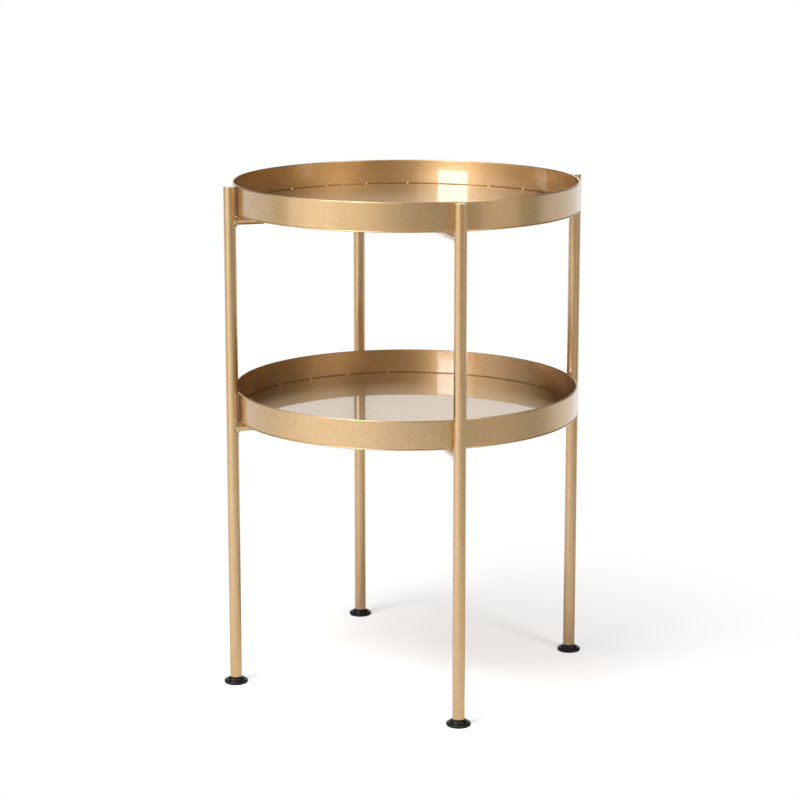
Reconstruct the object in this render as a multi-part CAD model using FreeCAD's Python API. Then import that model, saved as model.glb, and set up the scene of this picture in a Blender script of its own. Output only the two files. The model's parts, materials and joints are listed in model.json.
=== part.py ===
import FreeCAD, Part
import math
import os

# Tiered side table: two round trays carried on four leg frames.
# Each leg frame is one upright tube with a short arm welded on under each tray.
# Weld studs on the tray floors reach down into the arms, where nuts clamp them.
# A tray floor is pressed up above its flat edge, and the studs' shoulders fill that step.
# The origin is on the floor under the table's centre, +Z up, legs on the X and Y axes.
# All sizes are in millimetres.

# Trays: a floor disc with a raised middle, and a rolled band standing on its flat edge
TRAY_DIAMETER = 400.0
TRAY_HEIGHT = 33.0
BAND_THICKNESS = 2.0
BAND_TOP_ROUNDING = 0.8
BAND_FOOT_ROUNDING = 0.6
FLOOR_THICKNESS = 1.5
FLOOR_RAISE = 2.4
FLOOR_ROUNDING = 0.5
UPPER_RIM_HEIGHT = 585.0
LOWER_RIM_HEIGHT = 346.0

# Tack welds that hold the band to the floor, inside the corner
TACK_COUNT = 24
TACK_RADIUS = 1.5
UPPER_TACK_ANGLE = 13.0
LOWER_TACK_ANGLE = 5.0

# Leg frames: uprights, welded caps and the arms under the trays
LEG_DIAMETER = 14.0
LEG_WALL = 1.2
LEG_TO_BAND_CLEARANCE = 0.3
LEG_TOP_BELOW_RIM = 1.0
LEG_MOUTH_CHAMFER = 0.3
CAP_THICKNESS = 1.5
CAP_ROUNDING = 0.6
CAP_SPIGOT_LENGTH = 8.0
ARM_DIAMETER = 12.0
ARM_WALL = 1.0
ARM_INNER_END = 30.0
PLUG_HEAD_THICKNESS = 1.5
PLUG_ROUNDING = 0.8
PLUG_SPIGOT_LENGTH = 9.0
WELD_SIZE = 2.0
WELD_TOE = 0.1
WELD_BELOW_TRAY = 0.5

# M4 weld studs, with a saddle washer and a nut inside the arm, put in from below
STUD_DIAMETER = 4.0
STUD_SHOULDER_DIAMETER = 9.0
STUD_HOLE_CLEARANCE = 0.5
STUD_BEYOND_NUT = 1.0
INNER_STUD_RADIUS = 60.0
OUTER_STUD_RADIUS = 165.0
SADDLE_DIAMETER = 8.4
SADDLE_RIM = 0.8
NUT_ACROSS_FLATS = 7.0
NUT_HEIGHT = 3.2
ACCESS_CLEARANCE = 0.6
THREAD_CLEARANCE = 0.05

# Levelling feet: a swivel pad on a threaded stud with a moulded hub
FOOT_HEIGHT = 7.5
PAD_DIAMETER = 27.5
PAD_EDGE_HEIGHT = 3.2
PAD_ROUNDING = 1.0
PAD_TOP_DIAMETER = 22.0
PAD_TOP_HEIGHT = 3.9
SOCKET_FLOOR = 1.4
SPIGOT_DIAMETER = 14.0
SPIGOT_THICKNESS = 1.2
SWIVEL_NECK_DIAMETER = 11.0
SWIVEL_CLEARANCE = 0.08
HUB_FOOT_DIAMETER = 20.4
HUB_TOP_DIAMETER = 17.6
HUB_TOP_HEIGHT = 6.4
HUB_ROUNDING = 0.6
HUB_NECK_DIAMETER = 9.2
FOOT_STUD_DIAMETER = 6.0
FOOT_STUD_HEAD_DIAMETER = 9.0
FOOT_STUD_HEAD_HEIGHT = 1.4
FOOT_STUD_HEAD_COVER = 0.6
FOOT_STUD_TOP = 27.0
INSERT_LENGTH = 22.0

# Sizes that follow from the ones above
TRAY_RADIUS = TRAY_DIAMETER / 2
BAND_INNER_RADIUS = TRAY_RADIUS - BAND_THICKNESS
LEG_RADIUS = LEG_DIAMETER / 2
LEG_BORE_RADIUS = LEG_RADIUS - LEG_WALL
LEG_CIRCLE_RADIUS = TRAY_RADIUS + LEG_TO_BAND_CLEARANCE + LEG_RADIUS
LEG_TOP = UPPER_RIM_HEIGHT - LEG_TOP_BELOW_RIM
ARM_RADIUS = ARM_DIAMETER / 2
ARM_BORE_RADIUS = ARM_RADIUS - ARM_WALL
STUD_RADIUS = STUD_DIAMETER / 2
SADDLE_RADIUS = SADDLE_DIAMETER / 2
SADDLE_EDGE_DROP = ARM_BORE_RADIUS - math.sqrt(ARM_BORE_RADIUS**2 - SADDLE_RADIUS**2)
NUT_SEAT_DEPTH = ARM_WALL + SADDLE_EDGE_DROP + SADDLE_RIM
STUD_LENGTH = NUT_SEAT_DEPTH + NUT_HEIGHT + STUD_BEYOND_NUT
STUD_CIRCLE_RADII = (INNER_STUD_RADIUS, OUTER_STUD_RADIUS)
SPIGOT_TOP = SOCKET_FLOOR + SPIGOT_THICKNESS
LEG_ANGLES = {"right": 0, "back": 90, "left": 180, "front": 270}
TIERS = {
    "upper": (UPPER_RIM_HEIGHT - TRAY_HEIGHT, UPPER_TACK_ANGLE),
    "lower": (LOWER_RIM_HEIGHT - TRAY_HEIGHT, LOWER_TACK_ANGLE),
}

ORIGIN = FreeCAD.Vector(0, 0, 0)
X_AXIS = FreeCAD.Vector(1, 0, 0)
Z_AXIS = FreeCAD.Vector(0, 0, 1)
MATCH = 1e-4  # how closely an edge has to match the place it is looked for


# Shared shapes


def turned(outline):
    """Solid of revolution about Z from a closed outline of (radius, height) points."""
    points = [FreeCAD.Vector(radius, 0, height) for radius, height in outline]
    face = Part.Face(Part.makePolygon(points + points[:1]))
    return face.revolve(ORIGIN, Z_AXIS, 360)


def rounded(solid, radius, height, rounding):
    """Rounds the circular edge of a turned solid that has this radius and height."""
    edges = []
    for edge in solid.Edges:
        if not isinstance(edge.Curve, Part.Circle):
            continue
        same_radius = abs(edge.Curve.Radius - radius) < MATCH
        same_height = abs(edge.Curve.Center.z - height) < MATCH
        if same_radius and same_height:
            edges.append(edge)
    return solid.makeFillet(rounding, edges)


def rod(radius, length, base=ORIGIN, axis=Z_AXIS):
    """Solid round bar that starts at base and runs along axis."""
    return Part.makeCylinder(radius, length, base, axis)


def turned_to(shape, angle):
    """Copy of a shape turned about the table's centre line, in degrees."""
    copy = shape.copy()
    copy.rotate(ORIGIN, Z_AXIS, angle)
    return copy


def on_leg(shape, angle):
    """Copy of a shape made on the Z axis, moved to the leg at this angle."""
    copy = shape.copy()
    copy.translate(FreeCAD.Vector(LEG_CIRCLE_RADIUS, 0, 0))
    copy.rotate(ORIGIN, Z_AXIS, angle)
    return copy


def save(name, shape):
    """Writes one node of the table."""
    shape.exportStep(f"parts/{name}.step")
    print(f"{name}: {len(shape.Solids)} solid(s), {shape.Volume:.1f} mm3")


# Trays


def tray_floor(underside):
    """Pressed disc: a flat edge under the band, then a step up to the floor inside it."""
    edge_top = underside + FLOOR_THICKNESS
    floor_underside = underside + FLOOR_RAISE
    floor_top = floor_underside + FLOOR_THICKNESS
    step_radius = BAND_INNER_RADIUS - FLOOR_THICKNESS
    outline = [
        (0, floor_underside),
        (step_radius, floor_underside),
        (step_radius, underside),
        (TRAY_RADIUS, underside),
        (TRAY_RADIUS, edge_top),
        (BAND_INNER_RADIUS, edge_top),
        (BAND_INNER_RADIUS, floor_top),
        (0, floor_top),
    ]
    disc = turned(outline)
    disc = rounded(disc, TRAY_RADIUS, underside, FLOOR_ROUNDING)
    disc = rounded(disc, TRAY_RADIUS, edge_top, FLOOR_ROUNDING)
    return rounded(disc, BAND_INNER_RADIUS, floor_top, FLOOR_ROUNDING)


def tray_band(underside):
    """Rolled strip that stands on the edge of the floor disc and makes the rim."""
    foot = underside + FLOOR_THICKNESS
    rim = underside + TRAY_HEIGHT
    corners = [
        (BAND_INNER_RADIUS, foot),
        (TRAY_RADIUS, foot),
        (TRAY_RADIUS, rim),
        (BAND_INNER_RADIUS, rim),
    ]
    band = turned(corners)
    band = rounded(band, TRAY_RADIUS, rim, BAND_TOP_ROUNDING)
    band = rounded(band, BAND_INNER_RADIUS, rim, BAND_TOP_ROUNDING)
    return rounded(band, TRAY_RADIUS, foot, BAND_FOOT_ROUNDING)


def tack_welds(underside, first_angle):
    """Small round beads in the corner between the band and the floor."""
    floor_top = underside + FLOOR_RAISE + FLOOR_THICKNESS
    corner = FreeCAD.Vector(BAND_INNER_RADIUS, 0, floor_top)
    inside = rod(BAND_INNER_RADIUS, TRAY_HEIGHT, FreeCAD.Vector(0, 0, corner.z))
    bead = Part.makeSphere(TACK_RADIUS, corner).common(inside)
    step = 360 / TACK_COUNT
    beads = [turned_to(bead, first_angle + step * number) for number in range(TACK_COUNT)]
    return Part.makeCompound(beads)


def at_studs(shape):
    """Copies of a shape made on the Z axis, one at each stud of a tray."""
    copies = []
    for angle in LEG_ANGLES.values():
        for radius in STUD_CIRCLE_RADII:
            copy = shape.copy()
            copy.translate(FreeCAD.Vector(radius, 0, 0))
            copies.append(turned_to(copy, angle))
    return Part.makeCompound(copies)


def weld_stud(underside):
    """Stud that hangs from the tray floor, with a shoulder that rests on the arm."""
    shoulder_radius = STUD_SHOULDER_DIAMETER / 2
    outline = [
        (0, underside - STUD_LENGTH),
        (STUD_RADIUS, underside - STUD_LENGTH),
        (STUD_RADIUS, underside),
        (shoulder_radius, underside),
        (shoulder_radius, underside + FLOOR_RAISE),
        (0, underside + FLOOR_RAISE),
    ]
    return turned(outline)


def saddle_washer(underside):
    """Washer whose upper face is crowned to fit the bore of the arm."""
    start = FreeCAD.Vector(0, 0, underside - NUT_SEAT_DEPTH)
    washer = rod(SADDLE_RADIUS, NUT_SEAT_DEPTH, start)
    bore_start = FreeCAD.Vector(-SADDLE_DIAMETER, 0, underside - ARM_RADIUS)
    bore = rod(ARM_BORE_RADIUS, 2 * SADDLE_DIAMETER, bore_start, X_AXIS)
    hole = rod((STUD_DIAMETER + STUD_HOLE_CLEARANCE) / 2, NUT_SEAT_DEPTH, start)
    return washer.common(bore).cut(hole)


def stud_nut(underside):
    """Hexagon nut on a weld stud, under the saddle washer."""
    bottom = underside - NUT_SEAT_DEPTH - NUT_HEIGHT
    corner_radius = NUT_ACROSS_FLATS / math.sqrt(3)
    corners = []
    for number in range(7):
        turn = math.radians(60 * number)
        across = corner_radius * math.cos(turn)
        along = corner_radius * math.sin(turn)
        corners.append(FreeCAD.Vector(across, along, bottom))
    hexagon = Part.Face(Part.makePolygon(corners)).extrude(Z_AXIS * NUT_HEIGHT)
    thread = rod(STUD_RADIUS + THREAD_CLEARANCE, NUT_HEIGHT, FreeCAD.Vector(0, 0, bottom))
    return hexagon.cut(thread)


# Leg frames


def leg_tube():
    """Upright tube from just above the foot to the underside of its cap."""
    top = LEG_TOP - CAP_THICKNESS
    outline = [
        (LEG_BORE_RADIUS, FOOT_HEIGHT),
        (LEG_RADIUS - LEG_MOUTH_CHAMFER, FOOT_HEIGHT),
        (LEG_RADIUS, FOOT_HEIGHT + LEG_MOUTH_CHAMFER),
        (LEG_RADIUS, top),
        (LEG_BORE_RADIUS, top),
    ]
    return turned(outline)


def leg_cap():
    """Disc that closes the tube, with a spigot down its bore."""
    head_bottom = LEG_TOP - CAP_THICKNESS
    spigot_bottom = head_bottom - CAP_SPIGOT_LENGTH
    outline = [
        (0, spigot_bottom),
        (LEG_BORE_RADIUS, spigot_bottom),
        (LEG_BORE_RADIUS, head_bottom),
        (LEG_RADIUS, head_bottom),
        (LEG_RADIUS, LEG_TOP),
        (0, LEG_TOP),
    ]
    return rounded(turned(outline), LEG_RADIUS, LEG_TOP, CAP_ROUNDING)


def arm(underside):
    """Tube under a tray, coped to its leg and drilled above and below for two studs."""
    height = underside - ARM_RADIUS
    first = ARM_INNER_END + PLUG_HEAD_THICKNESS
    start = FreeCAD.Vector(first, 0, height)
    length = LEG_CIRCLE_RADIUS - first
    tube = rod(ARM_RADIUS, length, start, X_AXIS)
    tube = tube.cut(rod(ARM_BORE_RADIUS, length, start, X_AXIS))
    leg_centre = FreeCAD.Vector(LEG_CIRCLE_RADIUS, 0, height - ARM_DIAMETER)
    tube = tube.cut(rod(LEG_RADIUS, 2 * ARM_DIAMETER, leg_centre))
    for radius in STUD_CIRCLE_RADII:
        stud_hole = rod(
            (STUD_DIAMETER + STUD_HOLE_CLEARANCE) / 2,
            ARM_RADIUS,
            FreeCAD.Vector(radius, 0, height),
        )
        access_hole = rod(
            (SADDLE_DIAMETER + ACCESS_CLEARANCE) / 2,
            ARM_RADIUS,
            FreeCAD.Vector(radius, 0, height - ARM_RADIUS),
        )
        tube = tube.cut(stud_hole).cut(access_hole)
    return tube


def arm_plugs(underside):
    """Plugs that close the inner ends of a tray's four arms."""
    head = rod(ARM_RADIUS, PLUG_HEAD_THICKNESS)
    head = rounded(head, ARM_RADIUS, 0, PLUG_ROUNDING)
    spigot_start = FreeCAD.Vector(0, 0, PLUG_HEAD_THICKNESS)
    plug = head.fuse(rod(ARM_BORE_RADIUS, PLUG_SPIGOT_LENGTH, spigot_start))
    plug.rotate(ORIGIN, FreeCAD.Vector(0, 1, 0), 90)
    plug.translate(FreeCAD.Vector(ARM_INNER_END, 0, underside - ARM_RADIUS))
    return Part.makeCompound([turned_to(plug, angle) for angle in LEG_ANGLES.values()])


def weld_bead(underside):
    """Rounded bead round the joint between an arm and its leg, open at the top."""
    height = underside - ARM_RADIUS
    reach = ARM_RADIUS + WELD_SIZE
    side_reach = min(LEG_RADIUS - WELD_TOE, reach)
    leg_face = LEG_CIRCLE_RADIUS - LEG_RADIUS
    # An oval sleeve round the arm, a ball and a sleeve round the leg bound the bead.
    oval_start = leg_face - reach
    oval = Part.Ellipse(
        FreeCAD.Vector(oval_start, 0, height + reach),
        FreeCAD.Vector(oval_start, side_reach, height),
        FreeCAD.Vector(oval_start, 0, height),
    )
    sleeve = Part.Face(Part.Wire(oval.toShape())).extrude(X_AXIS * (reach + LEG_RADIUS))
    ball_centre = FreeCAD.Vector(leg_face + ARM_RADIUS, 0, height)
    ball = Part.makeSphere(math.hypot(ARM_RADIUS, reach), ball_centre)
    leg_centre = FreeCAD.Vector(LEG_CIRCLE_RADIUS, 0, height - 2 * reach)
    around_leg = rod(LEG_RADIUS + WELD_SIZE, 4 * reach, leg_centre)
    leg = rod(LEG_RADIUS, 4 * reach, leg_centre)
    arm_start = FreeCAD.Vector(oval_start - reach, 0, height)
    arm_bar = rod(ARM_RADIUS, 2 * reach + 2 * LEG_RADIUS, arm_start, X_AXIS)
    bead = sleeve.common(ball).common(around_leg).cut(leg).cut(arm_bar)
    # The tray's edge passes close to the leg, so the bead ends just below it.
    weld_top = underside - WELD_BELOW_TRAY
    corner = FreeCAD.Vector(oval_start, -2 * reach, weld_top)
    return bead.cut(Part.makeBox(4 * reach, 4 * reach, reach, corner))


# Levelling feet


def foot_insert():
    """Threaded plug pressed into the lower end of the leg tube."""
    bore_radius = FOOT_STUD_DIAMETER / 2 + THREAD_CLEARANCE
    outline = [
        (bore_radius, FOOT_HEIGHT),
        (LEG_BORE_RADIUS, FOOT_HEIGHT),
        (LEG_BORE_RADIUS, FOOT_HEIGHT + INSERT_LENGTH),
        (bore_radius, FOOT_HEIGHT + INSERT_LENGTH),
    ]
    return turned(outline)


def foot_stud():
    """Threaded stud with a flat head that is moulded into the hub."""
    head_radius = FOOT_STUD_HEAD_DIAMETER / 2
    shank_radius = FOOT_STUD_DIAMETER / 2
    head_bottom = SOCKET_FLOOR + FOOT_STUD_HEAD_COVER
    head_top = head_bottom + FOOT_STUD_HEAD_HEIGHT
    outline = [
        (0, head_bottom),
        (head_radius, head_bottom),
        (head_radius, head_top),
        (shank_radius, head_top),
        (shank_radius, FOOT_STUD_TOP),
        (0, FOOT_STUD_TOP),
    ]
    return turned(outline)


def foot_hub():
    """Moulded collar on the stud, with a spigot that snaps into the pad."""
    neck_radius = SWIVEL_NECK_DIAMETER / 2
    spigot_radius = SPIGOT_DIAMETER / 2
    collar_top = (HUB_TOP_DIAMETER / 2, HUB_TOP_HEIGHT)
    outline = [
        (0, SOCKET_FLOOR),
        (spigot_radius, SOCKET_FLOOR),
        (spigot_radius, SPIGOT_TOP),
        (neck_radius, SPIGOT_TOP),
        (neck_radius, PAD_TOP_HEIGHT),
        (HUB_FOOT_DIAMETER / 2, PAD_TOP_HEIGHT),
        collar_top,
        (HUB_NECK_DIAMETER / 2, HUB_TOP_HEIGHT),
        (HUB_NECK_DIAMETER / 2, FOOT_HEIGHT),
        (0, FOOT_HEIGHT),
    ]
    hub = rounded(turned(outline), *collar_top, HUB_ROUNDING)
    return hub.cut(foot_stud())


def foot_pad():
    """Wide disc that stands on the floor and lets the hub turn in its socket."""
    pad_radius = PAD_DIAMETER / 2
    socket_radius = SPIGOT_DIAMETER / 2 + SWIVEL_CLEARANCE
    mouth_radius = SWIVEL_NECK_DIAMETER / 2 + SWIVEL_CLEARANCE
    outline = [
        (0, 0),
        (pad_radius, 0),
        (pad_radius, PAD_EDGE_HEIGHT),
        (PAD_TOP_DIAMETER / 2, PAD_TOP_HEIGHT),
        (mouth_radius, PAD_TOP_HEIGHT),
        (mouth_radius, SPIGOT_TOP + SWIVEL_CLEARANCE),
        (socket_radius, SPIGOT_TOP + SWIVEL_CLEARANCE),
        (socket_radius, SOCKET_FLOOR),
        (0, SOCKET_FLOOR),
    ]
    pad = rounded(turned(outline), pad_radius, 0, PAD_ROUNDING)
    return rounded(pad, pad_radius, PAD_EDGE_HEIGHT, PAD_ROUNDING)


# The whole table, one file for each node

os.makedirs("parts", exist_ok=True)

for tier, (underside, tack_angle) in TIERS.items():
    save(f"{tier}_tray_floor", tray_floor(underside))
    save(f"{tier}_tray_band", tray_band(underside))
    save(f"{tier}_tray_tack_welds", tack_welds(underside, tack_angle))
    save(f"{tier}_weld_studs", at_studs(weld_stud(underside)))
    save(f"{tier}_saddle_washers", at_studs(saddle_washer(underside)))
    save(f"{tier}_stud_nuts", at_studs(stud_nut(underside)))
    save(f"{tier}_arm_plugs", arm_plugs(underside))
    for side, angle in LEG_ANGLES.items():
        save(f"{tier}_arm_{side}", turned_to(arm(underside), angle))

beads = Part.makeCompound([weld_bead(underside) for underside, _ in TIERS.values()])
for side, angle in LEG_ANGLES.items():
    save(f"leg_tube_{side}", on_leg(leg_tube(), angle))
    save(f"leg_cap_{side}", on_leg(leg_cap(), angle))
    save(f"arm_welds_{side}", turned_to(beads, angle))
    save(f"foot_insert_{side}", on_leg(foot_insert(), angle))
    save(f"foot_stud_{side}", on_leg(foot_stud(), angle))
    save(f"foot_hub_{side}", on_leg(foot_hub(), angle))
    save(f"foot_pad_{side}", on_leg(foot_pad(), angle))
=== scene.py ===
# %% [markdown]
# # Tiered side table
# Two shallow round trays of lacquered sheet steel stand one above the other on four slim
# tube legs. The frame that is loaded here holds every piece at its real size. This script
# gives the pieces their finish, models the ones that need a finer shape, and sets up a
# small studio round them.

import json
import math
import random

import bmesh
import bpy
from mathutils import Matrix, Vector

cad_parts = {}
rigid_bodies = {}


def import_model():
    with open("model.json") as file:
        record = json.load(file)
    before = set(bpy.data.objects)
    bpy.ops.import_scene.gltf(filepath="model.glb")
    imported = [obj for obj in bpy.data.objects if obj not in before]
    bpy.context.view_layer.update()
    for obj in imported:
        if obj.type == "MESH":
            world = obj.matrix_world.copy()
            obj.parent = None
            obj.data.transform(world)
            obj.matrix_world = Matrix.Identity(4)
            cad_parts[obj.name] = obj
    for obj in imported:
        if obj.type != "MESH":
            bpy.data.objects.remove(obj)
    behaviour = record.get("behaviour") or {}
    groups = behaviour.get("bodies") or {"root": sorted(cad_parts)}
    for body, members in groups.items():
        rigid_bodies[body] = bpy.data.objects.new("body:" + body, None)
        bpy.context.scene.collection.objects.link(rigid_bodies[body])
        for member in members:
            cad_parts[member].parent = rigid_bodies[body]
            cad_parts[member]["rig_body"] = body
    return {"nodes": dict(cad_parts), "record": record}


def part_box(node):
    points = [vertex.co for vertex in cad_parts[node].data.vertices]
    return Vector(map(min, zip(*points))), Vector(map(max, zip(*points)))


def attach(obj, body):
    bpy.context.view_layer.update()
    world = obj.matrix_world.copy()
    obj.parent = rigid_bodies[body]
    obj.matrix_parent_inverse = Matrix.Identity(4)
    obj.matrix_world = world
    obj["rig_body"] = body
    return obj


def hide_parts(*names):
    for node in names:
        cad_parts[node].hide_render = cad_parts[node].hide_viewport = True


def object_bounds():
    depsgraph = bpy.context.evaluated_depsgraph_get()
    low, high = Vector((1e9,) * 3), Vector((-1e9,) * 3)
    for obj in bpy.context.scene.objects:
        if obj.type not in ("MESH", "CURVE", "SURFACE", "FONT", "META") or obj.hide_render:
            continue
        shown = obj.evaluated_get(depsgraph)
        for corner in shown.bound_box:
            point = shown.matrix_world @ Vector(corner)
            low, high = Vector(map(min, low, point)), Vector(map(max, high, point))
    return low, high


for leftover in list(bpy.data.objects):
    bpy.data.objects.remove(leftover)

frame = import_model()
frame_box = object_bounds()
MM = 0.001
SIDES = ("right", "back", "left", "front")
TIERS = ("upper", "lower")
ORIGIN = Vector((0, 0, 0))
UP = Vector((0, 0, 1))
table_height = frame_box[1].z
print(f"{len(frame['nodes'])} nodes, {table_height / MM:.0f} mm high")

# %% [markdown]
# ## Camera
# A product shot of a low table is taken from a little above its top with a long lens, so
# that the uprights stay nearly parallel. The camera is tilted down, and its lens is shifted
# so that the whole table sits in the middle of a square picture. The lens is worked out
# from its focal length in pixels of that picture.

# %% Place the camera
PICTURE = 800
FOCAL_PIXELS = 2276
SENSOR = 36
CAMERA_AZIMUTH = math.radians(16.37)
CAMERA_DISTANCE = 2.603
CAMERA_HEIGHT = 0.905
CAMERA_TILT = math.radians(10.67)
CAMERA_TURN = math.radians(0.155)
LENS_DROP_PIXELS = 75

away = Vector((math.sin(CAMERA_AZIMUTH), math.cos(CAMERA_AZIMUTH), 0))
lens = bpy.data.cameras.new("long_lens")
lens.sensor_width = SENSOR
lens.lens = FOCAL_PIXELS / PICTURE * SENSOR
lens.shift_y = -LENS_DROP_PIXELS / PICTURE
camera = bpy.data.objects.new("camera", lens)
camera.location = UP * CAMERA_HEIGHT - away * CAMERA_DISTANCE
camera.rotation_euler = (math.radians(90) - CAMERA_TILT, 0, CAMERA_TURN - CAMERA_AZIMUTH)
bpy.context.scene.collection.objects.link(camera)
bpy.context.scene.camera = camera
bpy.context.scene.view_settings.view_transform = "Standard"
print(f"lens {lens.lens:.1f} mm, camera at {tuple(round(c, 3) for c in camera.location)}")

# %% [markdown]
# ## Two helpers for materials
# Colours are noted as sRGB hex values, as in a paint chart, but shaders count in linear
# light, so one function turns one into the other. A second one adds a node, sets it and
# links it in a single call, which keeps each material short enough to read at a glance.


# %% Colours and nodes
def linear(hex_colour):
    """Linear RGBA of an sRGB hex colour."""
    channels = [int(hex_colour[place:place + 2], 16) / 255 for place in (1, 3, 5)]
    curve = [c / 12.92 if c <= 0.04045 else ((c + 0.055) / 1.055) ** 2.4 for c in channels]
    return (*curve, 1.0)


def add(tree, kind, values=None, links=None, **settings):
    """Adds one node with its settings, the numbers on its inputs and what feeds them."""
    node = tree.nodes.new(kind)
    for name, value in settings.items():
        setattr(node, name, value)
    for socket, value in (values or {}).items():
        node.inputs[socket].default_value = value
    for socket, source in (links or {}).items():
        tree.links.new(source, node.inputs[socket])
    return node


def new_material(name):
    """Empty material with its output node, ready for a shader."""
    material = bpy.data.materials.new(name)
    material.use_nodes = True
    material.node_tree.nodes.clear()
    return material, material.node_tree, add(material.node_tree, "ShaderNodeOutputMaterial")


print("linear mid grey:", [round(c, 3) for c in linear("#808080")[:3]])

# %% [markdown]
# ## Champagne-gold metallic lacquer
# The steel is sprayed with a lacquer that holds fine metal flakes, under a clear gloss
# coat. The flakes lie nearly flat, so the colour is bright where light comes straight back
# and brown where it doesn't. Each cell of a Voronoi pattern stands for a flake and gets
# its own small tilt. One half of the flakes is gold and the other half is paler and a
# little smoother, which gives champagne its mild, greyish sparkle. Real flakes are about
# 0.05 mm wide and would blur away at this distance, so they are drawn larger. The clear
# coat dries with a faint orange peel, and thin sheet steel is never quite flat, so the
# coat's normal has two gentle waves.


# %% Mix the lacquer
FLAKE_WIDTH = 0.5  # drawn coarser than the real 0.05 mm so that it shows
FLAKE_TILT = 0.07
GOLD_FLAKE_COLOURS = ("#C49B62", "#CAA267")
GOLD_FLAKE_ROUGHNESS = 0.38
PALE_FLAKE_COLOUR = "#CFB286"
PALE_FLAKE_ROUGHNESS = 0.33
PALE_FLAKE_SHARE = 0.5
COAT_ROUGHNESS = 0.03
COAT_IOR = 1.6
CLOUD_WIDTH = 45.0
PEEL_WIDTH = 4.0
PEEL_HEIGHT = 0.010
SHEET_WAVE_WIDTH = 90.0
SHEET_WAVE_HEIGHT = 0.10


def wave(tree, place, width, height, normal=None):
    """Bump of soft waves of this width and height, in millimetres."""
    noise = add(
        tree,
        "ShaderNodeTexNoise",
        {"Scale": 1 / (width * MM), "Detail": 1.0},
        {"Vector": place.outputs["Object"]},
    )
    links = {"Height": noise.outputs["Fac"]}
    if normal:
        links["Normal"] = normal.outputs["Normal"]
    return add(tree, "ShaderNodeBump", {"Strength": 1.0, "Distance": height * MM}, links)


def mix_lacquer():
    """Champagne-gold metallic lacquer with a clear gloss coat, sprayed on steel."""
    material, tree, output = new_material("champagne_metallic_lacquer")
    place = add(tree, "ShaderNodeTexCoord")
    flakes = add(
        tree,
        "ShaderNodeTexVoronoi",
        {"Scale": 1 / (FLAKE_WIDTH * MM)},
        {"Vector": place.outputs["Object"]},
    )
    centred = add(
        tree,
        "ShaderNodeVectorMath",
        {1: (0.5, 0.5, 0.5)},
        {0: flakes.outputs["Color"]},
        operation="SUBTRACT",
    )
    tilt = add(
        tree,
        "ShaderNodeVectorMath",
        {"Scale": FLAKE_TILT},
        {0: centred.outputs["Vector"]},
        operation="SCALE",
    )
    surface = add(tree, "ShaderNodeNewGeometry")
    tilted = add(
        tree,
        "ShaderNodeVectorMath",
        None,
        {0: surface.outputs["Normal"], 1: tilt.outputs["Vector"]},
        operation="ADD",
    )
    flake_normal = add(
        tree,
        "ShaderNodeVectorMath",
        None,
        {0: tilted.outputs["Vector"]},
        operation="NORMALIZE",
    )
    clouds = add(
        tree,
        "ShaderNodeTexNoise",
        {"Scale": 1 / (CLOUD_WIDTH * MM), "Detail": 3.0},
        {"Vector": place.outputs["Object"]},
    )
    gold = add(
        tree,
        "ShaderNodeMix",
        {"A": linear(GOLD_FLAKE_COLOURS[0]), "B": linear(GOLD_FLAKE_COLOURS[1])},
        {"Factor": clouds.outputs["Fac"]},
        data_type="RGBA",
    )
    lot = add(tree, "ShaderNodeSeparateColor", None, {"Color": flakes.outputs["Color"]})
    pale = add(
        tree,
        "ShaderNodeMath",
        {1: PALE_FLAKE_SHARE},
        {0: lot.outputs["Blue"]},
        operation="LESS_THAN",
    )
    colour = add(
        tree,
        "ShaderNodeMix",
        {"B": linear(PALE_FLAKE_COLOUR)},
        {"Factor": pale.outputs["Value"], "A": gold.outputs["Result"]},
        data_type="RGBA",
    )
    roughness = add(
        tree,
        "ShaderNodeMix",
        {"A": GOLD_FLAKE_ROUGHNESS, "B": PALE_FLAKE_ROUGHNESS},
        {"Factor": pale.outputs["Value"]},
        data_type="FLOAT",
    )
    sheet_wave = wave(tree, place, SHEET_WAVE_WIDTH, SHEET_WAVE_HEIGHT)
    orange_peel = wave(tree, place, PEEL_WIDTH, PEEL_HEIGHT, sheet_wave)
    lacquer = add(
        tree,
        "ShaderNodeBsdfPrincipled",
        {
            "Metallic": 1.0,
            "Coat Weight": 1.0,
            "Coat Roughness": COAT_ROUGHNESS,
            "Coat IOR": COAT_IOR,
        },
        {
            "Base Color": colour.outputs["Result"],
            "Roughness": roughness.outputs["Result"],
            "Normal": flake_normal.outputs["Vector"],
            "Coat Normal": orange_peel.outputs["Normal"],
        },
    )
    tree.links.new(lacquer.outputs["BSDF"], output.inputs["Surface"])
    return material


lacquer = mix_lacquer()
print(f"{lacquer.name}: {len(lacquer.node_tree.nodes)} nodes")

# %% [markdown]
# ## Moulded nylon and zinc plate
# The feet and the arm plugs are moulded from black nylon. The mould was spark eroded,
# which leaves an even matt grain. The nuts, washers and studs are zinc plated: a grey
# metal with a faint blue and yellow tint where the passivation is thicker or thinner.

# %% Mix the nylon and the zinc
NYLON_COLOUR = "#0A0A0A"
NYLON_ROUGHNESS = 0.36
NYLON_IOR = 1.4
NYLON_GRAIN_WIDTH = 0.4
NYLON_GRAIN_HEIGHT = 0.02
ZINC_BLUE = "#B9C2CC"
ZINC_YELLOW = "#CFC9B4"
ZINC_ROUGHNESS = 0.3
ZINC_CLOUD_WIDTH = 3.0


def mix_nylon():
    """Black nylon with the grain of a spark-eroded mould."""
    material, tree, output = new_material("black_moulded_nylon")
    place = add(tree, "ShaderNodeTexCoord")
    grain = wave(tree, place, NYLON_GRAIN_WIDTH, NYLON_GRAIN_HEIGHT)
    nylon = add(
        tree,
        "ShaderNodeBsdfPrincipled",
        {"Base Color": linear(NYLON_COLOUR), "Roughness": NYLON_ROUGHNESS, "IOR": NYLON_IOR},
        {"Normal": grain.outputs["Normal"]},
    )
    tree.links.new(nylon.outputs["BSDF"], output.inputs["Surface"])
    return material


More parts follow.
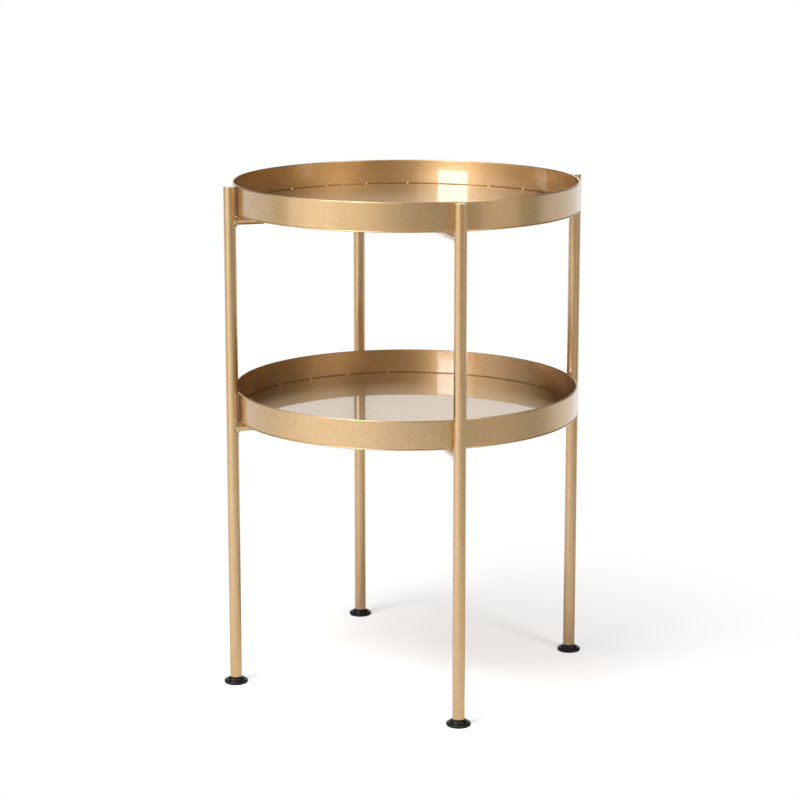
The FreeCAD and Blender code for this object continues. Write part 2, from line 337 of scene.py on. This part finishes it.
def mix_zinc():
    """Bright zinc plate with a thin passivated film."""
    material, tree, output = new_material("passivated_zinc_plate")
    place = add(tree, "ShaderNodeTexCoord")
    clouds = add(
        tree,
        "ShaderNodeTexNoise",
        {"Scale": 1 / (ZINC_CLOUD_WIDTH * MM), "Detail": 2.0},
        {"Vector": place.outputs["Object"]},
    )
    tint = add(
        tree,
        "ShaderNodeMix",
        {"A": linear(ZINC_BLUE), "B": linear(ZINC_YELLOW)},
        {"Factor": clouds.outputs["Fac"]},
        data_type="RGBA",
    )
    zinc = add(
        tree,
        "ShaderNodeBsdfPrincipled",
        {"Metallic": 1.0, "Roughness": ZINC_ROUGHNESS},
        {"Base Color": tint.outputs["Result"]},
    )
    tree.links.new(zinc.outputs["BSDF"], output.inputs["Surface"])
    return material


nylon = mix_nylon()
zinc = mix_zinc()
FINISHES = {"gold_lacquer": lacquer, "black_plastic": nylon, "zinc_plated_steel": zinc}
print("finishes:", ", ".join(finish.name for finish in FINISHES.values()))

# %% [markdown]
# ## Finish the pieces that keep their shape
# The arms, their welds and the fixings already have the right shape, so they only get a
# finish. Each node has one material slot, and the record says which finish it takes.

# %% Paint the frame's own nodes
slot_of = {row["node"]: row["material_slot"] for row in frame["record"]["subparts"]}
for node_name, node in frame["nodes"].items():
    for material_slot in node.material_slots:
        material_slot.material = FINISHES[slot_of[node_name]]
print({slot: list(slot_of.values()).count(slot) for slot in FINISHES})

# %% [markdown]
# ## Turned pieces
# Trays, tubes, caps and feet are all round, so each one is half a cross-section spun about
# its axis, as on a lathe. The section's corners are cut back by a vertex bevel first,
# because a real edge is never sharp and its small rounding catches the light. A full spin
# merges its last step with its first, and points on the axis are merged afterwards.


# %% A small lathe
ROUNDING_STEPS = 4
MERGE_DISTANCE = 1e-7


def turned(section, steps, closed=True):
    """Spins a section of (radius, height, corner rounding) points in mm about Z."""
    shape = bmesh.new()
    corners = [shape.verts.new((radius * MM, 0, height * MM)) for radius, height, _ in section]
    ends = corners[1:] + corners[:1] if closed else corners[1:]
    for start, end in zip(corners, ends):
        shape.edges.new((start, end))
    for corner, (_, _, rounding) in zip(corners, section):
        if rounding:
            bmesh.ops.bevel(
                shape,
                geom=[corner],
                offset=rounding * MM,
                offset_type="OFFSET",
                segments=ROUNDING_STEPS,
                profile=0.5,
                affect="VERTICES",
                material=-1,
            )
    bmesh.ops.spin(
        shape,
        geom=shape.verts[:] + shape.edges[:],
        cent=ORIGIN,
        axis=UP,
        angle=math.tau,
        steps=steps,
        use_merge=True,
    )
    bmesh.ops.remove_doubles(shape, verts=shape.verts, dist=MERGE_DISTANCE)
    bmesh.ops.recalc_face_normals(shape, faces=shape.faces)
    return shape


# %% Turn a shape into a finished piece
SHARP_ANGLE = math.radians(40)


def finish_piece(name, shape, node_name, move=ORIGIN):
    """Makes an object of a shape, in place of one node, with that node's body and finish."""
    bmesh.ops.translate(shape, verts=shape.verts, vec=move)
    mesh = bpy.data.meshes.new(name)
    shape.to_mesh(mesh)
    shape.free()
    mesh.shade_smooth()
    mesh.set_sharp_from_angle(angle=SHARP_ANGLE)
    piece = bpy.data.objects.new(name, mesh)
    bpy.context.scene.collection.objects.link(piece)
    mesh.materials.append(FINISHES[slot_of[node_name]])
    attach(piece, frame["nodes"][node_name]["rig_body"])
    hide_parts(node_name)
    size = [round(side / MM, 1) for side in piece.dimensions]
    print(f"{name}: {len(mesh.polygons)} faces, {size} mm")
    return piece


# %% [markdown]
# ## Trays
# A tray floor is a disc of sheet steel, pressed so that its middle stands a little above
# its flat edge. A rolled band stands on that edge. Both edges at the joint are broken, so
# a fine dark line runs round the outside just above the bottom. Inside, the band has a
# rolled groove that grips the disc; it is narrow and deep, so it lies in shade and shows dark.
# The disc gets a ring of points close to its edge: without it, smooth shading would bend
# the whole face, and a glossy sheet shows that at once.

# %% Spin the trays
TRAY_STEPS = 288
SHEET = 1.5
FLOOR_EDGE_ROUNDING = 0.6
EDGE_GUARD = 1.5
BAND_WALL = 2.0
RIM_ROUNDING = 0.9
BAND_FOOT_ROUNDING = 0.8
GROOVE_HEIGHT = 1.3
GROOVE_DEPTH = 1.3
GROOVE_BELOW_FLOOR = 0.3


def heights(node_name):
    """Outer radius, lowest and highest point of a round upright node, in mm."""
    low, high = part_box(node_name)
    return (high.x - low.x) / 2 / MM, low.z / MM, high.z / MM


for tier in TIERS:
    radius, bottom, floor_top = heights(f"{tier}_tray_floor")
    inner = radius - BAND_WALL
    section = [
        (0, floor_top - SHEET, 0),
        (inner - SHEET, floor_top - SHEET, 0),
        (inner - SHEET, bottom, 0),
        (radius - SHEET, bottom, 0),
        (radius, bottom, FLOOR_EDGE_ROUNDING),
        (radius, bottom + SHEET, FLOOR_EDGE_ROUNDING),
        (inner, bottom + SHEET, 0),
        (inner, floor_top, FLOOR_EDGE_ROUNDING),
        (inner - EDGE_GUARD, floor_top, 0),
        (0, floor_top, 0),
    ]
    disc = turned(section, TRAY_STEPS, closed=False)
    finish_piece(f"lacquered_floor_{tier}", disc, f"{tier}_tray_floor")

    _, bottom, top = heights(f"{tier}_tray_band")
    groove_bottom = floor_top - GROOVE_BELOW_FLOOR
    section = [
        (inner, bottom, 0),
        (radius, bottom, BAND_FOOT_ROUNDING),
        (radius, bottom + EDGE_GUARD, 0),
        (radius, top - EDGE_GUARD, 0),
        (radius, top, RIM_ROUNDING),
        (inner, top, RIM_ROUNDING),
        (inner, top - EDGE_GUARD, 0),
        (inner, groove_bottom + GROOVE_HEIGHT, 0),
        (inner + GROOVE_DEPTH, groove_bottom + GROOVE_HEIGHT / 2, 0),
        (inner + GROOVE_DEPTH, groove_bottom, 0),
        (inner, groove_bottom, 0),
    ]
    band = turned(section, TRAY_STEPS)
    finish_piece(f"lacquered_band_{tier}", band, f"{tier}_tray_band")

# %% [markdown]
# ## Tack welds
# The band is held to the disc by short welds in the inside corner. A weld pulls itself
# into a small rounded puddle, and no two are quite alike. Each one is a low sphere,
# stretched a little along the corner by a seeded random amount and set at its own place.

# %% Lay the tack welds
WELD_RADIUS = 1.5
WELD_COUNT = 24
WELD_SPREAD = 0.3
FIRST_WELD = {"upper": 13.0, "lower": 5.0}
chance = random.Random(7)


def tack_welds(tier):
    """All the tack welds of one tray in one shape."""
    outer_radius, _, corner_height = heights(f"{tier}_tray_floor")
    corner_radius = (outer_radius - BAND_WALL) * MM
    shape = bmesh.new()
    for number in range(WELD_COUNT):
        turn = math.radians(FIRST_WELD[tier] + 360 * number / WELD_COUNT)
        bead = bmesh.ops.create_icosphere(shape, subdivisions=3, radius=WELD_RADIUS * MM)
        length = 1 + chance.uniform(0, WELD_SPREAD)
        height = 1 - chance.uniform(0, WELD_SPREAD)
        bmesh.ops.scale(shape, verts=bead["verts"], vec=Vector((1, length, height)))
        place = Vector((corner_radius, 0, corner_height * MM))
        bmesh.ops.translate(shape, verts=bead["verts"], vec=place)
        bmesh.ops.rotate(
            shape,
            verts=bead["verts"],
            cent=ORIGIN,
            matrix=Matrix.Rotation(turn, 3, "Z"),
        )
    return shape


for tier in TIERS:
    finish_piece(f"tack_weld_beads_{tier}", tack_welds(tier), f"{tier}_tray_tack_welds")

# %% [markdown]
# ## Legs
# Each leg is a length of drawn steel tube with a disc welded into its top and ground
# flush. The saw cut at the bottom is deburred, which leaves a thin bright edge just above
# the foot. Tube and cap are spun at the origin and then moved to their leg's place.

# %% Spin the legs and their caps
LEG_STEPS = 96
LEG_WALL = 1.2
CUT_ROUNDING = 0.3
CAP_ROUNDING = 0.6


def leg_place(node_name):
    """Centre of a round upright node, on the floor plane."""
    low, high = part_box(node_name)
    return Vector(((low.x + high.x) / 2, (low.y + high.y) / 2, 0))


for side in SIDES:
    node_name = f"leg_tube_{side}"
    radius, bottom, top = heights(node_name)
    bore = radius - LEG_WALL
    section = [
        (bore, bottom, CUT_ROUNDING),
        (radius, bottom, CUT_ROUNDING),
        (radius, bottom + EDGE_GUARD, 0),
        (radius, top, 0),
        (bore, top, 0),
    ]
    tube = turned(section, LEG_STEPS)
    finish_piece(f"lacquered_leg_{side}", tube, node_name, leg_place(node_name))

    cap_name = f"leg_cap_{side}"
    _, spigot_bottom, cap_top = heights(cap_name)
    section = [
        (0, spigot_bottom, 0),
        (bore, spigot_bottom, 0),
        (bore, top, 0),
        (radius, top, 0),
        (radius, cap_top, CAP_ROUNDING),
        (radius - EDGE_GUARD, cap_top, 0),
        (0, cap_top, 0),
    ]
    cap = turned(section, LEG_STEPS, closed=False)
    finish_piece(f"lacquered_cap_{side}", cap, cap_name, leg_place(node_name))

# %% [markdown]
# ## Levelling feet
# Each foot is two nylon mouldings: a wide pad that stays still on the floor, and a hub that
# snaps into it and turns with the threaded stud. Both are lathe work again. The hub's
# section leaves out the stud, which keeps its own shape, and every visible edge is rounded,
# since a mould can't hold a sharp one.

# %% Spin the pads and the hubs
FOOT_STEPS = 72
PAD_EDGE_HEIGHT = 3.2
PAD_TOP_RADIUS = 11.0
PAD_ROUNDING = 1.0
SOCKET_FLOOR = 1.4
SOCKET_CLEARANCE = 0.08
SPIGOT_RADIUS = 7.0
SPIGOT_TOP = 2.6
SWIVEL_RADIUS = 5.5
HUB_TOP_RADIUS = 8.8
HUB_TOP_HEIGHT = 6.4
HUB_EDGE_ROUNDING = 0.35
HUB_TOP_ROUNDING = 0.6
HUB_NECK_RADIUS = 4.6
STUD_HEAD_RADIUS = 4.5
STUD_HEAD = (2.0, 3.4)
STUD_RADIUS = 3.0

for side in SIDES:
    pad_name = f"foot_pad_{side}"
    radius, bottom, top = heights(pad_name)
    section = [
        (0, bottom, 0),
        (radius - EDGE_GUARD, bottom, 0),
        (radius, bottom, PAD_ROUNDING),
        (radius, PAD_EDGE_HEIGHT, PAD_ROUNDING),
        (PAD_TOP_RADIUS, top, 0),
        (SWIVEL_RADIUS + SOCKET_CLEARANCE, top, 0),
        (SWIVEL_RADIUS + SOCKET_CLEARANCE, SPIGOT_TOP + SOCKET_CLEARANCE, 0),
        (SPIGOT_RADIUS + SOCKET_CLEARANCE, SPIGOT_TOP + SOCKET_CLEARANCE, 0),
        (SPIGOT_RADIUS + SOCKET_CLEARANCE, SOCKET_FLOOR, 0),
        (0, SOCKET_FLOOR, 0),
    ]
    pad = turned(section, FOOT_STEPS, closed=False)
    finish_piece(f"nylon_pad_{side}", pad, pad_name, leg_place(pad_name))

    hub_name = f"foot_hub_{side}"
    radius, bottom, hub_top = heights(hub_name)
    section = [
        (0, STUD_HEAD[0], 0),
        (STUD_HEAD_RADIUS, STUD_HEAD[0], 0),
        (STUD_HEAD_RADIUS, STUD_HEAD[1], 0),
        (STUD_RADIUS, STUD_HEAD[1], 0),
        (STUD_RADIUS, hub_top, 0),
        (HUB_NECK_RADIUS, hub_top, 0),
        (HUB_NECK_RADIUS, HUB_TOP_HEIGHT, 0),
        (HUB_TOP_RADIUS, HUB_TOP_HEIGHT, HUB_TOP_ROUNDING),
        (radius, top, HUB_EDGE_ROUNDING),
        (SWIVEL_RADIUS, top, 0),
        (SWIVEL_RADIUS, SPIGOT_TOP, 0),
        (SPIGOT_RADIUS, SPIGOT_TOP, 0),
        (SPIGOT_RADIUS, bottom, 0),
        (0, bottom, 0),
    ]
    hub = turned(section, FOOT_STEPS, closed=False)
    finish_piece(f"nylon_hub_{side}", hub, hub_name, leg_place(hub_name))

# %% [markdown]
# ## Studio
# The table stands on a wide pale floor in a white room. The floor is plain matt paper, lit
# by the lamps, and it fades to pure white away from the table, so no edge shows behind it.
# A faint glow lifts the paper for the camera alone, which keeps the shadow soft and light.
# Metal needs something to reflect: the room is brighter on the left, where the window is,
# and darker on the right, which is what gives the tubes their shape.

# %% Lay the floor
FLOOR_SIZE = 9.0
PAPER_COLOUR = "#F2F1F0"
FLOOR_LIFT = 0.36
SHADOW_REACH = (0.1, 0.6)
WHITE_BEHIND = (0.0, 0.8)


def mix_floor():
    """Matt white paper: pure white to the camera away from the table, clear from below."""
    material, tree, output = new_material("matt_paper_floor")
    place = add(tree, "ShaderNodeTexCoord")
    path = add(tree, "ShaderNodeLightPath")
    paper = add(tree, "ShaderNodeBsdfDiffuse", {"Color": linear(PAPER_COLOUR)})
    depth = add(
        tree,
        "ShaderNodeVectorMath",
        {1: away},
        {0: place.outputs["Object"]},
        operation="DOT_PRODUCT",
    )
    behind = add(
        tree,
        "ShaderNodeMapRange",
        {"From Min": WHITE_BEHIND[0], "From Max": WHITE_BEHIND[1]},
        {"Value": depth.outputs["Value"]},
        interpolation_type="SMOOTHSTEP",
    )
    mirrored = add(
        tree,
        "ShaderNodeMath",
        None,
        {0: path.outputs["Is Glossy Ray"], 1: behind.outputs["Result"]},
        operation="MULTIPLY",
    )
    seen = add(
        tree,
        "ShaderNodeMath",
        None,
        {0: path.outputs["Is Camera Ray"], 1: mirrored.outputs["Value"]},
        operation="MAXIMUM",
    )
    lift = add(
        tree,
        "ShaderNodeMath",
        {1: FLOOR_LIFT},
        {0: path.outputs["Is Camera Ray"]},
        operation="MULTIPLY",
    )
    glow = add(tree, "ShaderNodeEmission", None, {"Strength": lift.outputs["Value"]})
    lifted = add(tree, "ShaderNodeAddShader", None, {0: paper.outputs[0], 1: glow.outputs[0]})
    reach = add(
        tree,
        "ShaderNodeVectorMath",
        None,
        {0: place.outputs["Object"]},
        operation="LENGTH",
    )
    fade = add(
        tree,
        "ShaderNodeMapRange",
        {"From Min": SHADOW_REACH[0], "From Max": SHADOW_REACH[1]},
        {"Value": reach.outputs["Value"]},
        interpolation_type="SMOOTHSTEP",
    )
    share = add(
        tree,
        "ShaderNodeMath",
        None,
        {0: fade.outputs["Result"], 1: seen.outputs["Value"]},
        operation="MULTIPLY",
    )
    white = add(tree, "ShaderNodeEmission", {"Strength": 1.0})
    mixed = add(
        tree,
        "ShaderNodeMixShader",
        None,
        {0: share.outputs["Value"], 1: lifted.outputs[0], 2: white.outputs[0]},
    )
    surface = add(tree, "ShaderNodeNewGeometry")
    gone = add(
        tree,
        "ShaderNodeMath",
        None,
        {0: surface.outputs["Backfacing"], 1: path.outputs["Is Camera Ray"]},
        operation="MULTIPLY",
    )
    clear = add(tree, "ShaderNodeBsdfTransparent")
    one_sided = add(
        tree,
        "ShaderNodeMixShader",
        None,
        {0: gone.outputs["Value"], 1: mixed.outputs[0], 2: clear.outputs[0]},
    )
    tree.links.new(one_sided.outputs[0], output.inputs["Surface"])
    return material


paper = bmesh.new()
bmesh.ops.create_grid(paper, x_segments=2, y_segments=2, size=FLOOR_SIZE)
floor_mesh = bpy.data.meshes.new("studio_floor")
paper.to_mesh(floor_mesh)
paper.free()
floor_mesh.materials.append(mix_floor())
studio_floor = bpy.data.objects.new("studio_floor", floor_mesh)
bpy.context.scene.collection.objects.link(studio_floor)
print(f"floor {2 * FLOOR_SIZE:.0f} m across")

# %% [markdown]
# ## Room and lamps
# The camera always sees the room as white. Everything else sees a dim room with a few
# broad bright walls: a white backdrop behind the table, a reflector on either side of the
# camera, a faint wall at the camera's back, one more on the right and a pale ceiling. Each
# is a round patch with a soft edge and a tint of its own, cool near the window and warm on
# the other side. The patches are added up, so they can overlap. Six soft boxes light the
# table. A wide, low one stands for the window and shows as a crisp patch in the glossy
# trays. Four weaker ones fill the sides, and a strong one overhead points straight down and
# casts the shadow.

# %% Paint the room
ROOM_LEVEL = 0.02
WHITE = (1.0, 1.0, 1.0)
COOL = (1.0, 1.02, 1.1)
WARM = (1.0, 0.92, 0.8)
DAYLIGHT = (0.96, 1.02, 1.18)
ROOM_WALLS = {
    "backdrop": {"turn": 180, "rise": 8, "edge": (18, 26), "level": 1.1, "tint": WHITE},
    "left_reflector": {"turn": 60, "rise": 5, "edge": (20, 55), "level": 0.8, "tint": COOL},
    "right_reflector": {"turn": -50, "rise": 5, "edge": (15, 40), "level": 0.28, "tint": WARM},
    "right_wall": {"turn": -92, "rise": 5, "edge": (8, 28), "level": 0.2, "tint": WARM},
    "front_wall": {"turn": 0, "rise": 5, "edge": (10, 30), "level": 0.45, "tint": WARM},
    "overhead": {"turn": 0, "rise": 90, "edge": (10, 35), "level": 0.9, "tint": WHITE},
}


def aim_at(turn, rise):
    """Unit vector turned left of the camera and raised by these many degrees."""
    level_aim = Matrix.Rotation(math.radians(-turn), 3, "Z") @ -away
    return level_aim * math.cos(math.radians(rise)) + UP * math.sin(math.radians(rise))


def mix_room():
    """World that is white to the camera and a lit studio to everything else."""
    world = bpy.data.worlds.new("white_studio_room")
    world.use_nodes = True
    tree = world.node_tree
    tree.nodes.clear()
    output = add(tree, "ShaderNodeOutputWorld")
    path = add(tree, "ShaderNodeLightPath")
    direction = add(tree, "ShaderNodeTexCoord")
    start = {0: [ROOM_LEVEL * part for part in WARM], 1: (0.0, 0.0, 0.0)}
    glow = add(tree, "ShaderNodeVectorMath", start, operation="ADD")
    for name, wall in ROOM_WALLS.items():
        nearness = add(
            tree,
            "ShaderNodeVectorMath",
            {1: aim_at(wall["turn"], wall["rise"])},
            {0: direction.outputs["Generated"]},
            operation="DOT_PRODUCT",
        )
        full, faded = (math.cos(math.radians(angle)) for angle in wall["edge"])
        patch = add(
            tree,
            "ShaderNodeMapRange",
            {"From Min": faded, "From Max": full, "To Min": 0.0, "To Max": wall["level"]},
            {"Value": nearness.outputs["Value"]},
            interpolation_type="SMOOTHSTEP",
            label=name,
        )
        tinted = add(
            tree,
            "ShaderNodeVectorMath",
            {0: wall["tint"]},
            {"Scale": patch.outputs["Result"]},
            operation="SCALE",
        )
        glow = add(
            tree,
            "ShaderNodeVectorMath",
            None,
            {0: glow.outputs["Vector"], 1: tinted.outputs["Vector"]},
            operation="ADD",
        )
    studio = add(
        tree, "ShaderNodeBackground", {"Strength": 1.0}, {"Color": glow.outputs["Vector"]}
    )
    white = add(tree, "ShaderNodeBackground", {"Color": linear("#FFFFFF"), "Strength": 1.0})
    clear = add(
        tree,
        "ShaderNodeMath",
        None,
        {0: path.outputs["Is Camera Ray"], 1: path.outputs["Is Transmission Ray"]},
        operation="MAXIMUM",
    )
    seen = add(
        tree,
        "ShaderNodeMixShader",
        None,
        {0: clear.outputs["Value"], 1: studio.outputs[0], 2: white.outputs[0]},
    )
    tree.links.new(seen.outputs[0], output.inputs["Surface"])
    return world


bpy.context.scene.world = mix_room()
print("room:", ", ".join(ROOM_WALLS))

# %% Hang the lamps
SOFT_BOXES = {
    "window_box": {
        "turn": 34, "distance": 2.46, "height": 0.96, "size": (0.95, 0.24), "power": 9.5,
        "aim_height": 0.96, "tint": DAYLIGHT,
    },
    "left_box": {
        "turn": 60, "distance": 1.3, "height": 0.75, "size": (0.8, 1.2), "power": 2.0,
        "aim_height": 0.6, "tint": COOL,
    },
    "glow_box": {
        "turn": 17, "distance": 1.5, "height": 0.9, "size": (0.5, 0.32), "power": 0.7,
        "aim_height": 0.6,
    },
    "right_box": {
        "turn": -60, "distance": 1.4, "height": 0.75, "size": (0.7, 1.2), "power": 1.4,
        "aim_height": 0.6, "tint": WARM,
    },
    "right_high_box": {
        "turn": -45, "distance": 1.6, "height": 1.7, "size": (0.5, 0.5), "power": 2.2,
        "aim_height": 0.6, "spread": 70,
    },
    "floor_box": {
        "turn": 45, "distance": 1.5, "height": 2.2, "size": (1.0, 1.0), "power": 52,
    },
}


def soft_box(name, turn, distance, height, size, power, aim_height=None, tint=WHITE, spread=180):
    """Area lamp, turned left of the camera by these degrees. Without an aim it faces down."""
    lamp = bpy.data.lights.new(name, "AREA")
    lamp.shape = "RECTANGLE"
    lamp.size, lamp.size_y = size
    lamp.energy = power
    lamp.color = tint
    lamp.spread = math.radians(spread)
    box = bpy.data.objects.new(name, lamp)
    box.location = aim_at(turn, 0) * distance + UP * height
    if aim_height is not None:
        aim = UP * aim_height - box.location
        box.rotation_euler = aim.to_track_quat("-Z", "Y").to_euler()
    bpy.context.scene.collection.objects.link(box)
    print(f"{name}: {power} W at {tuple(round(c, 2) for c in box.location)}")


for box_name, box_settings in SOFT_BOXES.items():
    soft_box(box_name, **box_settings)
